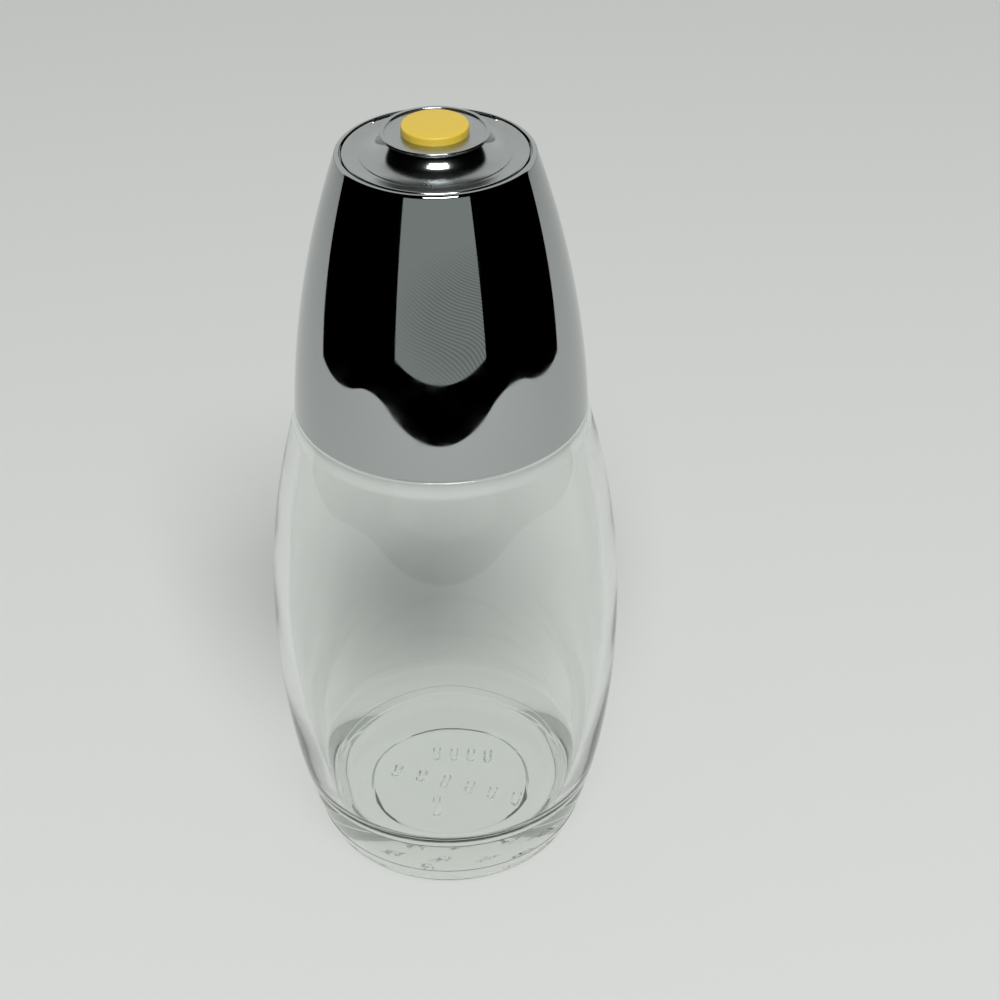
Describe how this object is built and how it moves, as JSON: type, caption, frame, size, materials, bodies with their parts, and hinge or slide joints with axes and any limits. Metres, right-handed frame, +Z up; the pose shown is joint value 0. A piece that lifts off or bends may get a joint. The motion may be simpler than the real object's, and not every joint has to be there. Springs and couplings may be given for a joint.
{
  "type": "sugar dispenser",
  "caption": "Glass table sugar dispenser: barrel-shaped jar, screw-on conical chromed lid, and a round hinged flap with a knob that lets sugar pour out of the lid's top.",
  "frame": {"origin": "centre of the jar's foot, on the surface it stands on", "axes": "+Z up along the jar's axis, -Y is the pour side, +Y is the flap's hinge side, +X is to the right seen from the pour side"},
  "size_m": [0.0631, 0.063, 0.1463],
  "materials": {
    "jar_glass": "clear pressed soda-lime glass",
    "seal_foam": "soft matt seal ring",
    "collar_plastic": "white moulded polypropylene",
    "lid_chrome": "bright chrome plating on a moulded shell",
    "flap_chrome": "chrome plating, hazed by fine scuffs",
    "cap_plastic": "golden yellow moulded plastic",
    "pin_steel": "drawn steel wire"
  },
  "bodies": {
    "jar": {"glass_jar": "jar_glass"},
    "seal": {"rim_seal": "seal_foam"},
    "lid": {"threaded_collar": "collar_plastic", "lid_shell": "lid_chrome", "hinge_pin": "pin_steel"},
    "flap": {"flap_plate": "flap_chrome", "flap_knob": "flap_chrome", "knob_cap": "cap_plastic"}
  },
  "joints": [
    {"name": "lid_turn", "type": "hinge", "parent": "jar", "child": "seal", "pos_m": [0, 0, 0.105], "axis": [0, 0, 1], "range_deg": [0, 360]},
    {"name": "lid_rise", "type": "slide", "parent": "seal", "child": "lid", "axis": [0, 0, 1], "range_m": [0, 0.0042]},
    {"name": "flap_hinge", "type": "hinge", "parent": "lid", "child": "flap", "pos_m": [0, 0.012, 0.1407], "axis": [-1, 0, 0], "range_deg": [0, 50]}
  ],
  "couplings": [
    {"joint": "lid_rise", "follows": "lid_turn", "m_per_rad": 0.00066845}
  ]
}
